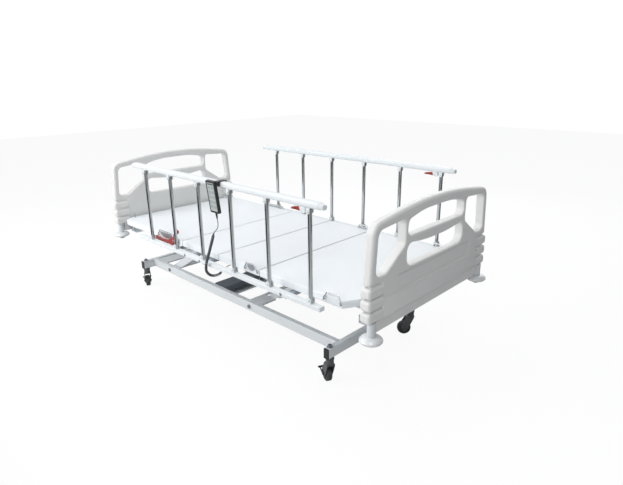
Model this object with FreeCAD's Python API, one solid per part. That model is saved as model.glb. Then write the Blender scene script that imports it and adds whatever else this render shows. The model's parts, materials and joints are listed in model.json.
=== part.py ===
import FreeCAD, Part
import math
import os
from FreeCAD import Vector

# Electric hospital bed with a four section platform, folding side rails and an arm lift.
# Millimetres. X runs from the head end to the foot end, Y from the patient's right to the
# left, Z is up. The origin is on the floor, midway between the two end boards.

# Overall layout
board_plane = 1030.0          # middle of each end board, from the origin
deck_top = 505.0
deck_half_width = 430.0
deck_head_end = -990.0
deck_foot_end = 970.0
back_seam = -300.0
thigh_seam = 41.0
knee_seam = 365.0
seam_gap = 8.0
rail_offset = 495.0           # middle of each side rail, from the centre line

# Platform panels
panel_plate = 3.0
panel_lip = 2.5
panel_depth = 33.0
panel_edge_radius = 4.0
rib_depth = 8.0
rib_shares = (0.3, 0.7)       # places of a panel's two ribs, as shares of its length
foot_corner_x = 85.0
foot_corner_y = 146.0
head_corner_x = 30.0
head_corner_y = 50.0
hinge_drop = 6.5              # hinge line below the platform's top
barrel_radius = 3.4
barrel_length = 34.0
hinge_pin_radius = 1.5
knee_barrel_radius = 5.0

# Wheeled base
base_bottom = 143.0
base_depth = 52.0
base_tube_width = 30.0
base_wall = 2.0
base_half_length = 357.0      # half length of a cross tube
head_tube_x = -955.0
foot_tube_x = 732.0
long_tube_outer = 280.0
long_tube_width = 30.0
cross_plate = 8.0
head_plate_width = 105.0
comb_start = 58.0

# Casters
caster_offset = 335.0
wheel_radius = 37.5
wheel_width = 28.0
caster_trail = 34.0
stem_radius = 6.0
axle_radius = 4.0
fork_gap = 17.0
fork_plate = 3.0

# Lift arms
arm_length = 500.0
frame_drop = 76.24            # the arms' upper pivots, below the platform's top
arm_depth = 30.0
arm_width = 20.0
arm_outer = 246.0
head_arm_depth = 46.0
foot_arm_outer = 146.0
head_arm_x = -743.0
foot_arm_x = 83.0
arm_pivot_z = 169.0
torsion_radius = 24.0
head_torsion_reach = 300.0
foot_torsion_reach = 110.0
pivot_tube_radius = 14.0
pivot_radius = 6.0

# Upper frame
frame_depth = 40.0
frame_width = 25.0
frame_wall = 2.0
frame_end_x = 955.0
frame_end_half = 385.0
head_cross_x = -550.0         # cross tubes between the long tubes
back_tube_x = 180.0
knee_tube_gap = 69.77         # from the foot arms' upper pivot to the tube toward the foot
outrigger_places = (-153.0, -17.0, 600.0)
outrigger_depth = 16.0
seat_rests = (-265.0, 0.0)
back_rest_x = -850.0
shelf_inner = 346.0
flange_top_gap = 5.0          # the board flanges end this far below the platform's top

# End boards
board_thickness = 44.0
board_bottom = 470.0
shoulder_z = 622.0
shoulder_half = 466.0
corner_half = 448.0
corner_z = 862.0
arch_half = 150.0
arch_z = 903.0
skirt_bottom = 415.0
rib_inner = 386.0
rib_outer = 473.0
rib_count = 3
rib_gap = 6.0

# Board posts and bumper rollers
post_x = 1040.0
post_y = 437.0
post_radius = 18.0
bumper_radius = 50.0
bumper_bottom = 378.0
bumper_top = 407.0
bumper_bore = 10.0

# Side rails
rail_post_first = -510.0
rail_post_pitch = 256.0
rail_post_count = 6
rail_post_radius = 9.5
rail_post_wall = 1.5
rail_pin_low = 498.0
rail_pin_high = 876.0
rail_pin_radius = 3.0
bar_bottom = 466.0
bar_depth = 20.0
bar_width = 30.0
bar_head = -642.0
bar_foot = 833.0
top_tube_bottom = 892.0
top_tube_depth = 28.0
top_tube_width = 36.0
top_tube_head = -640.0
top_tube_foot = 850.0

# Fits
running = 0.05                # radial gap of a pin in its hole
clear = 0.3                   # gap between surfaces that only pass each other

# Worked out from the values above
base_top = base_bottom + base_depth
frame_pivot_z = deck_top - frame_drop
arm_rise = frame_pivot_z - arm_pivot_z
arm_angle = math.degrees(math.asin(arm_rise / arm_length))    # above level at rest
arm_run = arm_length * math.cos(math.radians(arm_angle))
knee_tube_x = foot_arm_x + arm_run + knee_tube_gap
leg_head_end = knee_seam + seam_gap / 2
leg_rest_x = leg_head_end + (deck_foot_end - leg_head_end) * rib_shares[1]
frame_bottom = frame_pivot_z - frame_depth / 2
frame_top = frame_pivot_z + frame_depth / 2
frame_inner = long_tube_outer - frame_width
hinge_z = deck_top - hinge_drop
plate_under = deck_top - panel_plate
lip_bottom = deck_top - panel_depth
knee_hinge_z = lip_bottom - knee_barrel_radius - 0.5
corner_bottom = board_bottom - 3
rib_pitch = (shoulder_z - corner_bottom) / rib_count
board_inner = board_plane - board_thickness / 2
board_outer = board_plane + board_thickness / 2
bar_top = bar_bottom + bar_depth
bar_inner = rail_offset - bar_width / 2

os.makedirs("parts", exist_ok=True)


def block(x0, x1, y0, y1, z0, z1):
    """Rectangular block between two corners, given in any order."""
    low = Vector(min(x0, x1), min(y0, y1), min(z0, z1))
    return Part.makeBox(abs(x1 - x0), abs(y1 - y0), abs(z1 - z0), low)


def rounded_block(x0, x1, y0, y1, z0, z1, radius, axis):
    """Block whose four edges along one axis are rounded."""
    solid = block(x0, x1, y0, y1, z0, z1)
    edges = [e for e in solid.Edges if abs(e.tangentAt(e.FirstParameter).dot(axis)) > 0.99]
    return solid.makeFillet(radius, edges)


def soft_block(x0, x1, y0, y1, z0, z1, radius):
    """Block with every edge rounded."""
    solid = block(x0, x1, y0, y1, z0, z1)
    return solid.makeFillet(radius, solid.Edges)


def hollow_tube(x0, x1, y0, y1, z0, z1, wall, radius, axis):
    """Rectangular tube, open at both ends along its axis."""
    outer = rounded_block(x0, x1, y0, y1, z0, z1, radius, axis)
    grow = Vector(wall - 2 * wall * abs(axis.x), wall - 2 * wall * abs(axis.y),
                  wall - 2 * wall * abs(axis.z))
    inner = rounded_block(x0 + grow.x, x1 - grow.x, y0 + grow.y, y1 - grow.y,
                          z0 + grow.z, z1 - grow.z, max(radius - wall, 0.8), axis)
    return outer.cut(inner)


def rod(start, end, radius):
    """Round rod between two points."""
    along = end - start
    return Part.makeCylinder(radius, along.Length, start, along)


def cross_rod(x, z, y0, y1, radius):
    """Round rod across the bed, from y0 to y1."""
    return rod(Vector(x, y0, z), Vector(x, y1, z), radius)


def upright_rod(x, y, z0, z1, radius):
    """Round vertical rod."""
    return rod(Vector(x, y, z0), Vector(x, y, z1), radius)


def rounded_loop(corners, place):
    """Closed wire round the corners (a, b, r), each an arc tangent to its two sides.
    A radius of None takes the largest arc that both sides leave room for, 0 stays sharp."""
    count = len(corners)
    starts = []
    middles = []
    ends = []
    for i in range(count):
        corner = Vector(corners[i][0], corners[i][1], 0)
        before = Vector(corners[i - 1][0], corners[i - 1][1], 0) - corner
        after = Vector(corners[(i + 1) % count][0], corners[(i + 1) % count][1], 0) - corner
        room = 0.48 * min(before.Length, after.Length)
        before.normalize()
        after.normalize()
        half_turn = (math.pi - before.getAngle(after)) / 2
        radius = corners[i][2]
        if radius is None:
            radius = room / math.tan(half_turn)
        reach = radius * math.tan(half_turn)
        inward = before + after
        inward.normalize()
        starts.append(corner + before * reach)
        middles.append(corner + inward * (radius / math.cos(half_turn) - radius))
        ends.append(corner + after * reach)
    edges = []
    for i in range(count):
        if corners[i][2] != 0:
            arc = Part.Arc(place(starts[i]), place(middles[i]), place(ends[i]))
            edges.append(arc.toShape())
        follow = starts[(i + 1) % count]
        if (follow - ends[i]).Length > 0.01:
            edges.append(Part.LineSegment(place(ends[i]), place(follow)).toShape())
    return Part.Wire(edges)


def plate_yz(corners, x0, x1):
    """Plate across the bed's length with a rounded outline in Y and Z."""
    wire = rounded_loop(corners, lambda p: Vector(x0, p.x, p.y))
    return Part.Face(wire).extrude(Vector(x1 - x0, 0, 0))


def plate_xz(corners, y0, y1):
    """Plate along the bed with a rounded outline in X and Z."""
    wire = rounded_loop(corners, lambda p: Vector(p.x, y0, p.y))
    return Part.Face(wire).extrude(Vector(0, y1 - y0, 0))


def plate_xy(corners, z0, z1):
    """Level plate with a rounded outline in X and Y."""
    wire = rounded_loop(corners, lambda p: Vector(p.x, p.y, z0))
    return Part.Face(wire).extrude(Vector(0, 0, z1 - z0))


def turned(corners, x, y):
    """Solid turned about the vertical line at x, y from a rounded profile in radius and Z."""
    wire = rounded_loop(corners, lambda p: Vector(x + p.x, y, p.y))
    return Part.Face(wire).revolve(Vector(x, y, 0), Vector(0, 0, 1), 360)


def fused(solids):
    """One solid from several that overlap or touch."""
    return solids[0].multiFuse(solids[1:]).removeSplitter()


def mirrored_y(shape):
    """The same shape on the other side of the bed."""
    return shape.mirror(Vector(0, 0, 0), Vector(0, 1, 0))


def mirrored_x(shape):
    """The same shape at the other end of the bed."""
    return shape.mirror(Vector(0, 0, 0), Vector(1, 0, 0))


def both_sides(shape):
    """A shape and its mirror image across the centre line."""
    return [shape, mirrored_y(shape)]


def export(node, solids):
    """Write one node, made of one solid or of several separate ones."""
    shape = solids[0] if len(solids) == 1 else Part.makeCompound(solids)
    shape.exportStep("parts/" + node + ".step")
    facets = len(shape.tessellate(0.5)[1])
    print(node, "solids", len(shape.Solids), "valid", shape.isValid(), "facets", facets)
    return facets


along_x = Vector(1, 0, 0)
along_y = Vector(0, 1, 0)
along_z = Vector(0, 0, 1)


def base_frame():
    """Two long tubes between two cross tubes, and three flat cross plates with them."""
    half_tube = base_tube_width / 2
    solids = []
    for side in (-1, 1):
        outer = side * long_tube_outer
        inner = side * (long_tube_outer - long_tube_width)
        tube = hollow_tube(head_tube_x + half_tube, foot_tube_x - half_tube, outer, inner,
                           base_bottom, base_top, base_wall, 4, along_x)
        for x in (head_arm_x, foot_arm_x):
            tube = tube.cut(cross_rod(x, arm_pivot_z, outer * 1.1, inner * 0.9,
                                      pivot_radius + running))
        solids.append(tube)
    for x in (head_tube_x, foot_tube_x):
        tube = hollow_tube(x - half_tube, x + half_tube, -base_half_length, base_half_length,
                           base_bottom, base_top, base_wall, 4, along_y)
        for side in (-1, 1):
            tube = tube.cut(upright_rod(x, side * caster_offset, base_bottom - 5, base_top + 5,
                                        stem_radius + running))
        solids.append(tube)
    inner = long_tube_outer - long_tube_width
    plate_low = base_top - cross_plate
    x0 = head_tube_x + half_tube + 18
    plate = block(x0, x0 + head_plate_width, -inner, inner, plate_low, base_top)
    middle = x0 + head_plate_width / 2
    rib = rounded_block(middle - 12, middle + 12, -200, 200, plate_low - 18, plate_low, 4,
                        along_y)
    solids.append(fused([plate, rib]))
    solids.append(comb_plate(inner, plate_low))
    fork_low = base_bottom - cross_plate
    fork_plate_half = inner + long_tube_width - 10
    plate = block(lift_rear_x - 62, lift_rear_x + 40, -fork_plate_half, fork_plate_half,
                  fork_low, base_bottom)
    solids.append(fused([plate] + lift_fork(base_bottom)))
    return solids


def comb_plate(inner, low):
    """Cross plate over the foot arms' pivot, open where the two arms swing up."""
    plate = block(comb_start, comb_start + 102, -inner, inner, low, base_top)
    gap = 4.0
    for side in (-1, 1):
        slot = block(foot_arm_x - 11, comb_start + 110, side * (foot_arm_outer + gap),
                     side * (foot_arm_outer - arm_width - gap), low - 5, base_top + 5)
        plate = plate.cut(slot)
    return plate


def lift_fork(low):
    """Two ears on the middle cross plate and the pin for the lift actuator's rear eye."""
    parts = []
    for side in (-1, 1):
        y = lift_y + side * 24.0
        parts.append(plate_xz([(lift_rear_x - 16, low - 1, 1), (lift_rear_x + 30, low - 1, 1),
                               (lift_rear_x + 15, lift_rear_z + 14, 14),
                               (lift_rear_x - 14, lift_rear_z + 14, 14)], y - 3, y + 3))
    parts.append(cross_rod(lift_rear_x, lift_rear_z, lift_y - 30, lift_y + 30, eye_pin))
    return parts


def base_caps():
    """Black plugs in the four ends of the cross tubes."""
    solids = []
    half = base_tube_width / 2
    for x in (head_tube_x, foot_tube_x):
        for side in (-1, 1):
            end = side * base_half_length
            cap = rounded_block(x - half, x + half, end, end + side * 4, base_bottom, base_top,
                                4, along_y)
            gap = base_wall + 0.2
            plug = rounded_block(x - half + gap, x + half - gap, end - side * 10, end,
                                 base_bottom + gap, base_top - gap, 2, along_y)
            solids.append(fused([cap, plug]))
    return solids


def hex_prism(centre, direction, across, height):
    """Six sided nut or bolt head."""
    corner = across / math.sqrt(3)
    wire = Part.makePolygon([Vector(corner * math.cos(math.radians(60 * k)),
                                    corner * math.sin(math.radians(60 * k)), 0)
                             for k in range(7)])
    prism = Part.Face(wire).extrude(Vector(0, 0, height))
    prism.Placement = FreeCAD.Placement(centre, FreeCAD.Rotation(along_z, direction))
    return prism


def base_bolts():
    """Pivot bolts of the lift arms and the stems and nuts that hold the casters."""
    solids = []
    for x in (head_arm_x, foot_arm_x):
        for side in (-1, 1):
            shank = cross_rod(x, arm_pivot_z, side * (long_tube_outer + 1),
                              side * (arm_outer - arm_width + 0.6 + clear), pivot_radius)
            head = hex_prism(Vector(x, side * long_tube_outer, arm_pivot_z), along_y * side,
                             19, 7)
            solids.append(fused([shank, head]))
    for x in (head_tube_x, foot_tube_x):
        for side in (-1, 1):
            y = side * caster_offset
            stem = upright_rod(x, y, base_bottom - 24, base_top + 14, stem_radius)
            nut = hex_prism(Vector(x, y, base_top), along_z, 19, 10)
            washer = upright_rod(x, y, base_top, base_top + 2.5, 13)
            solids.append(fused([stem, nut, washer]))
    return solids


def caster_fork(x, y, angle):
    """Swivelling fork with its ring, built trailing along +X and then turned."""
    low = base_bottom - 34
    hub = upright_rod(0, 0, low, base_bottom - 10, 19)
    ring = turned([(5, base_bottom - 11, 0.5), (21, base_bottom - 11, 3),
                   (21, base_bottom - clear, 2), (5, base_bottom - clear, 0.5)], 0, 0)
    crown = rounded_block(-20, 26, -fork_gap - fork_plate, fork_gap + fork_plate,
                          low - 4, low, 8, along_z)
    legs = []
    for side in (-1, 1):
        leg = plate_xz([(-19, low - 1, 5), (24, low - 1, 6), (54, 52, 16), (44, 20, 14),
                        (20, 24, 14), (-6, 78, 26)],
                       side * fork_gap, side * (fork_gap + fork_plate))
        legs.append(leg)
    axle = cross_rod(caster_trail, wheel_radius, -26, 26, axle_radius)
    shape = fused([hub, ring, crown] + legs + [axle])
    shape = shape.cut(upright_rod(0, 0, low - 10, base_bottom, stem_radius + running))
    shape.rotate(Vector(0, 0, 0), along_z, angle)
    shape.translate(Vector(x, y, 0))
    return shape


def caster_wheel(x, y, angle):
    """Tyre and hub in one turned solid, with a running hole for the axle."""
    half = wheel_width / 2
    bore = axle_radius + running
    profile = [(bore, -half - 1.5, 0), (11, -half - 1.5, 0), (13, -half + 4, 0),
               (25, -half + 4, 0), (28, -half, 0), (wheel_radius - 5, -half, 0),
               (wheel_radius - 1, -half + 3, 0), (wheel_radius, -half + 8, 0),
               (wheel_radius, half - 8, 0), (wheel_radius - 1, half - 3, 0),
               (wheel_radius - 5, half, 0), (28, half, 0), (25, half - 4, 0),
               (13, half - 4, 0), (11, half + 1.5, 0), (bore, half + 1.5, 0)]
    wheel = turned(profile, 0, 0)
    wheel.rotate(Vector(0, 0, 0), along_x, 90)
    wheel.translate(Vector(caster_trail, 0, wheel_radius))
    wheel.rotate(Vector(0, 0, 0), along_z, angle)
    wheel.translate(Vector(x, y, 0))
    return wheel


def brake_pedal(x, y, angle):
    """Stamped brake pedal: two arms from the axle to a tread plate behind the wheel."""
    solids = []
    for side in (-1, 1):
        y0 = side * (fork_gap + fork_plate + clear)
        arm = plate_xz([(caster_trail - 8, wheel_radius - 8, 7), (caster_trail - 8, 46, 7),
                        (caster_trail + 44, 54, 3), (caster_trail + 44, 45, 3),
                        (caster_trail + 10, wheel_radius - 6, 7)],
                       y0, y0 + side * 2.5)
        arm = arm.cut(cross_rod(caster_trail, wheel_radius, -40, 40, axle_radius + running))
        solids.append(arm)
    tread = soft_block(caster_trail + 40.5, caster_trail + 54, -29, 29, 45, 51, 2.4)
    pedal = fused(solids + [tread])
    pedal.rotate(Vector(0, 0, 0), along_z, angle)
    pedal.translate(Vector(x, y, 0))
    return pedal


def arm_point(pivot_x, reach):
    """Point on a lift arm, a given reach from its lower pivot."""
    angle = math.radians(arm_angle)
    return Vector(pivot_x + reach * math.cos(angle), 0, arm_pivot_z + reach * math.sin(angle))


def lift_arms(pivot_x, torsion_reach, outer, depth):
    """Two side arms with a sleeve through each pivot and a thick torsion tube between them."""
    solids = []
    for side in (-1, 1):
        y0 = side * outer
        y1 = side * (outer - arm_width)
        bar = rounded_block(0, arm_length, y0, y1, -depth / 2, depth / 2, 3, along_x)
        bar = fused([bar, cross_rod(0, 0, y0, y1, depth / 2),
                     cross_rod(arm_length, 0, y0, y1, depth / 2)])
        bar.rotate(Vector(0, 0, 0), along_y, -arm_angle)
        bar.translate(Vector(pivot_x, 0, arm_pivot_z))
        solids.append(bar)
    centre = arm_point(pivot_x, torsion_reach)
    solids.append(cross_rod(centre.x, centre.z, 3 - outer, outer - 3, torsion_radius))
    solids.append(cross_rod(pivot_x, arm_pivot_z, -arm_outer, arm_outer, pivot_tube_radius))
    upper = arm_point(pivot_x, arm_length)
    if outer < arm_outer:
        for side in (-1, 1):
            solids.append(cross_rod(upper.x, upper.z, side * (outer - 5), side * arm_outer,
                                    pivot_tube_radius))
    whole = fused(solids)
    hole_start = arm_outer - arm_width - 3
    for centre in (Vector(pivot_x, 0, arm_pivot_z), upper):
        for side in (-1, 1):
            whole = whole.cut(cross_rod(centre.x, centre.z, side * hole_start,
                                        side * (arm_outer + 5), pivot_radius + running))
    return whole


# Lift actuator: its rear eye on the base, its rod on a lever of the head arms
lift_y = 40.0
lift_rear_x = -200.0
lift_rear_z = 165.0
lift_lever_angle = 95.0
lift_lever_reach = 110.0
lift_slack = 5.0
# Back actuator: its rear eye on a cross tube, its rod on a lever under the back section
back_y = 95.0
back_rear_x = back_tube_x - 60.0
back_rear_z = frame_pivot_z - 45.76
back_lever_angle = 275.0
back_lever_reach = 95.0
back_slack = 11.0
# Knee actuator: its rear eye near the foot end, its rod on a lever under the thigh section
knee_y = -80.0
knee_rear_x = knee_tube_x - 60.0
knee_rear_z = frame_pivot_z - 43.76
knee_lever_angle = 250.0
knee_lever_reach = 118.0
knee_slack = 4.1
eye_pin = 5.0
lever_half_gap = 9.5
lever_plate = 5.0
rod_radius = 9.0
motor_start = 26.0


def lever_tip(pivot_x, pivot_z, reach, angle):
    """End of an actuator lever, seen from the side."""
    turn = math.radians(angle)
    return Vector(pivot_x + reach * math.cos(turn), 0, pivot_z + reach * math.sin(turn))


def lever_pair(root_x, root_z, tip, centre_y, root_width):
    """Two lever plates with a level root line, and the pin between their tips."""
    solids = []
    along = Vector(tip.x - root_x, 0, tip.z - root_z)
    along.normalize()
    across = Vector(-along.z, 0, along.x)
    first = tip + across * 11 + along * 12
    second = tip - across * 11 + along * 12
    side_x = root_width / 2 * (1 if across.x > 0 else -1)
    corners = [(root_x + side_x, root_z, 1), (first.x, first.z, 10),
               (second.x, second.z, 10), (root_x - side_x, root_z, 1)]
    for side in (-1, 1):
        y0 = centre_y + side * lever_half_gap
        solids.append(plate_xz(corners, y0, y0 + side * lever_plate))
    reach_y = lever_half_gap + lever_plate + 3
    solids.append(cross_rod(tip.x, tip.z, centre_y - reach_y, centre_y + reach_y, eye_pin))
    return solids


def actuator(rear, tip, centre_y, slack, tube_length, rod_start, motor_length):
    """Housing with motor block and outer tube, and the sliding rod with its eye.
    The eye's hole is wider than the pin by the slack that the true linkage needs."""
    span = math.hypot(tip.x - rear.x, tip.z - rear.z)
    tube = rod(Vector(30, 0, 0), Vector(tube_length, 0, 0), 20)
    collar = rod(Vector(tube_length - 14, 0, 0), Vector(tube_length, 0, 0), 23)
    eye = cross_rod(0, 0, -12, 12, 14)
    neck = block(0, 40, -12, 12, -12, 12)
    parts = [tube, collar, eye, neck]
    if motor_length > 0:
        parts.append(rounded_block(motor_start, motor_start + motor_length, -40, 40, -28, 28, 12,
                                   along_x))
    housing = fused(parts)
    bore = rod(Vector(60, 0, 0), Vector(tube_length + 5, 0, 0), rod_radius + running)
    housing = housing.cut(bore)
    housing = housing.cut(cross_rod(0, 0, -20, 20, eye_pin + running))
    hole = eye_pin + slack
    inner = rod(Vector(rod_start, 0, 0), Vector(span - hole, 0, 0), rod_radius)
    rod_eye = cross_rod(span, 0, -8, 8, hole + 6)
    slide = fused([inner, rod_eye]).cut(cross_rod(span, 0, -20, 20, hole))
    turn = math.degrees(math.atan2(tip.z - rear.z, tip.x - rear.x))
    for shape in (housing, slide):
        shape.rotate(Vector(0, 0, 0), along_y, -turn)
        shape.translate(Vector(rear.x, centre_y, rear.z))
    return housing, slide


def lift_motor():
    """Motor block across the bed beside the lift actuator, with its gear case."""
    block_head = lift_rear_x - 90
    motor = rounded_block(block_head, lift_rear_x + 24, -240, lift_y - 30, lift_rear_z - 5,
                          base_top + 1, 10, along_y)
    case = rounded_block(block_head + 6, lift_rear_x - 28, lift_y - 40, lift_y + 10,
                         lift_rear_z - 3, base_top - 2, 6, along_y)
    return [motor, case]


def deck_panel(x0, x1, corner_x, corner_y, corner_end):
    """Pressed panel with a turned down lip and, at one end, two cut corners."""
    def outline(inset):
        half = deck_half_width - inset
        low = x0 + inset
        high = x1 - inset
        if corner_x == 0:
            return [(low, -half, 1), (high, -half, 1), (high, half, 1), (low, half, 1)]
        cut_x = corner_x - inset * 0.4
        cut_y = corner_y - inset * 0.7
        if corner_end > 0:
            return [(low, -half, 1), (high - cut_x, -half, 12), (high, -half + cut_y, 12),
                    (high, half - cut_y, 12), (high - cut_x, half, 12), (low, half, 1)]
        return [(low + cut_x, -half, 12), (high, -half, 1), (high, half, 1),
                (low + cut_x, half, 12), (low, half - cut_y, 12), (low, -half + cut_y, 12)]
    outer = plate_xy(outline(0), lip_bottom, deck_top)
    edges = [e for e in outer.Edges if e.BoundBox.ZMin > deck_top - 0.1]
    outer = outer.makeFillet(panel_edge_radius, edges)
    inner = plate_xy(outline(panel_lip), lip_bottom - 1, plate_under)
    shell = outer.cut(inner)
    ribs = []
    for share in rib_shares:
        x = x0 + (x1 - x0) * share
        half = deck_half_width - panel_lip
        if corner_x and abs(x - (x0 if corner_end < 0 else x1)) < corner_x:
            half = half - corner_y
        ribs.append(block(x - 15, x + 15, -half, half, plate_under - rib_depth, plate_under))
    return fused([shell] + ribs)


def hinge_barrels(seam_x, z, radius, owner, bore):
    """Barrels of three hinges on one seam. The fixed side owns the outer barrels and the
    pin, the moving side owns the middle barrel."""
    solids = []
    for centre in (-310, 0, 310):
        spans = [(-1.5, -0.5), (0.5, 1.5)] if owner == "outer" else [(-0.5, 0.5)]
        for low, high in spans:
            y0 = centre + low * barrel_length + clear
            y1 = centre + high * barrel_length - clear
            solids.append((y0, y1, cross_rod(seam_x, z, y0, y1, radius)))
    barrels = []
    for y0, y1, barrel in solids:
        if owner == "middle":
            barrel = barrel.cut(cross_rod(seam_x, z, y0 - 5, y1 + 5, bore + running))
        barrels.append((y0, y1, barrel))
    return barrels


def seam_hinge_parts(seam_x, z, radius, owner, toward):
    """Barrels joined to the lip on one side of a seam, and the pins of the fixed side."""
    parts = []
    for y0, y1, barrel in hinge_barrels(seam_x, z, radius, owner, hinge_pin_radius):
        if radius > seam_gap / 2:
            leaf = block(seam_x + toward * 1.0, seam_x + toward * 16, y0, y1,
                         z + radius - 1.2, lip_bottom)
            leaf = leaf.cut(cross_rod(seam_x, z, y0 - 5, y1 + 5, radius - 1))
            strap = block(seam_x + toward * seam_gap / 2, seam_x + toward * 16, y0, y1,
                          z + radius - 1.2, lip_bottom + 1.5)
            parts.extend([leaf, strap])
        else:
            leaf = block(seam_x + toward * (radius - 0.6), seam_x + toward * (seam_gap / 2 + 1),
                         y0, y1, z - 2, z + 2)
            parts.append(leaf)
        parts.append(barrel)
    if owner == "outer":
        for centre in (-310, 0, 310):
            parts.append(cross_rod(seam_x, z, centre - 1.4 * barrel_length,
                                   centre + 1.4 * barrel_length, hinge_pin_radius))
    return parts


def back_section():
    """Back rest panel with its hinge barrels and the lever for its actuator."""
    parts = [deck_panel(deck_head_end, back_seam - seam_gap / 2, head_corner_x,
                        head_corner_y, -1)]
    parts += seam_hinge_parts(back_seam, hinge_z, barrel_radius, "middle", -1)
    tip = lever_tip(back_seam, hinge_z, back_lever_reach, back_lever_angle)
    parts += lever_pair(back_seam - 42, plate_under + 1, tip, back_y, 34)
    return fused(parts)


def seat_section():
    """Fixed seat panel, with the outer hinge barrels of both its seams."""
    parts = [deck_panel(back_seam + seam_gap / 2, thigh_seam - seam_gap / 2, 0, 0, 0)]
    parts += seam_hinge_parts(back_seam, hinge_z, barrel_radius, "outer", 1)
    parts += seam_hinge_parts(thigh_seam, hinge_z, barrel_radius, "outer", -1)
    return fused(parts)


def thigh_section():
    """Thigh panel with the knee hinge under its foot end and the actuator lever."""
    parts = [deck_panel(thigh_seam + seam_gap / 2, knee_seam - seam_gap / 2, 0, 0, 0)]
    parts += seam_hinge_parts(thigh_seam, hinge_z, barrel_radius, "middle", 1)
    parts += seam_hinge_parts(knee_seam, knee_hinge_z, knee_barrel_radius, "outer", -1)
    tip = lever_tip(thigh_seam, hinge_z, knee_lever_reach, knee_lever_angle)
    parts += lever_pair(thigh_seam + 42, plate_under + 1, tip, knee_y, 34)
    return fused(parts)


def leg_section():
    """Leg panel with its two cut corners at the foot end."""
    parts = [deck_panel(knee_seam + seam_gap / 2, deck_foot_end, foot_corner_x,
                        foot_corner_y, 1)]
    parts += seam_hinge_parts(knee_seam, knee_hinge_z, knee_barrel_radius, "middle", 1)
    return fused(parts)


def wire_loop(x0, x1, side, lean, rise, slant):
    """Mattress keeper: a bent rod that rises from the panel's lip, with level feet."""
    y_lip = side * deck_half_width
    y = side * (deck_half_width + 6)
    top_y = side * (deck_half_width + 6 - lean)
    wire_radius = 3.0
    low = deck_top - 18
    high = deck_top + rise
    points = [Vector(x0, y_lip, low), Vector(x0, y, low), Vector(x0 + 2, y, low + 12),
              Vector(x0 + slant, top_y, high), Vector(x1 - slant, top_y, high),
              Vector(x1 - 2, y, low + 12), Vector(x1, y, low), Vector(x1, y_lip, low)]
    pieces = []
    for start, end in zip(points[:-1], points[1:]):
        pieces.append(rod(start, end, wire_radius))
    for point in points[1:-1]:
        pieces.append(Part.makeSphere(wire_radius, point))
    return fused(pieces)


def lip_hook(x, side):
    """Short upright hook at the head corner."""
    y = side * (deck_half_width - 62)
    foot = upright_rod(x, y, deck_top, deck_top + 26, 3)
    tip = rod(Vector(x, y, deck_top + 26), Vector(x + 16, y + side * 9, deck_top + 32), 3)
    return fused([foot, Part.makeSphere(3, Vector(x, y, deck_top + 26)), tip])


def keeper_plate(x0, x1, side, rise):
    """Half round plate on the lip's outer face, inside a keeper loop."""
    y = side * deck_half_width
    middle = (x0 + x1) / 2
    plate = plate_xz([(x0 + 16, deck_top + rise, 4), (x1 - 16, deck_top + rise, 4),
                      (x1 - 22, deck_top - 8, 14), (middle, deck_top - 24, None),
                      (x0 + 22, deck_top - 8, 14)], y, y + side * 2)
    return plate


def board_hoop():
    """Moulded foot board body: arched hoop, crossbar and panel, with four openings."""
    outline = [(rib_inner, board_bottom, 3), (rib_inner, shoulder_z, 1),
               (shoulder_half, shoulder_z, 8), (corner_half, corner_z, 52),
               (arch_half, arch_z, None)]
    outline += [(-y, z, r) for y, z, r in reversed(outline)]
    body = plate_yz(outline, board_inner, board_outer)
    edges = []
    for edge in body.Edges:
        box = edge.BoundBox
        if box.XMax - box.XMin < 0.01 and box.ZMax > shoulder_z + 8.2:
            edges.append(edge)
    body = body.makeFillet(15, edges)
    side_window = [(242, 738, 28), (242, 846, 22), (418, 833, 32), (432, 652, 28),
                   (366, 652, 30)]
    top_slot = [(228, 768, 30), (222, 836, 26), (110, 859, None), (-110, 859, None),
                (-222, 836, 26), (-228, 768, 30)]
    hand_slot = [(226, 638, 42), (226, 741, 34), (90, 723, None), (-90, 723, None),
                 (-226, 741, 34), (-226, 638, 42)]
    far_window = [(-y, z, r) for y, z, r in side_window]
    for corners in (side_window, far_window, top_slot, hand_slot):
        body = body.cut(plate_yz(corners, board_inner - 5, board_outer + 5))
    edges = []
    for edge in body.Edges:
        box = edge.BoundBox
        flat = box.XMax - box.XMin < 0.01
        on_face = abs(box.XMin - board_outer) < 0.01 or abs(box.XMin - board_inner) < 0.01
        inside = box.ZMin > 630 and max(abs(box.YMin), abs(box.YMax)) < 436 and box.ZMax < 862
        if flat and on_face and inside:
            edges.append(edge)
    return body.makeFillet(8, edges)


def foot_board_solid():
    """Hoop with its corner ribs, raised lower band, panel recess and skirt."""
    parts = [board_hoop()]
    parts.append(rounded_block(board_inner + 10, board_outer - 5, -415, 415, skirt_bottom,
                               board_bottom + 2, 5, along_y))
    parts.append(block(board_outer - 4, board_outer + 2.5, -rib_inner + 4, rib_inner - 4,
                       board_bottom + 3, 556))
    for side in (-1, 1):
        parts.append(block(board_inner + 7, board_outer - 7, side * (rib_inner - 10),
                           side * 452, corner_bottom, shoulder_z + 6))
        for k in range(rib_count):
            high = shoulder_z - rib_gap - k * rib_pitch
            low = high - rib_pitch + rib_gap
            rib = block(board_inner - 4, board_outer + 5, side * (rib_inner - 4),
                        side * rib_outer, low, high)
            edges = []
            for edge in rib.Edges:
                box = edge.BoundBox
                if max(abs(box.YMin), abs(box.YMax)) > rib_outer - 1:
                    edges.append(edge)
            parts.append(rib.makeFillet(14, edges))
    board = fused(parts)
    recess = plate_yz([(290, 560, 10), (290, 628, 14), (-290, 628, 14), (-290, 560, 10)],
                      board_outer - 2, board_outer + 5)
    inner_recess = plate_yz([(370, 484, 14), (370, 606, 14), (-370, 606, 14), (-370, 484, 14)],
                            board_inner - 5, board_inner + 2)
    return board.cut(recess).cut(inner_recess)


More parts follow.
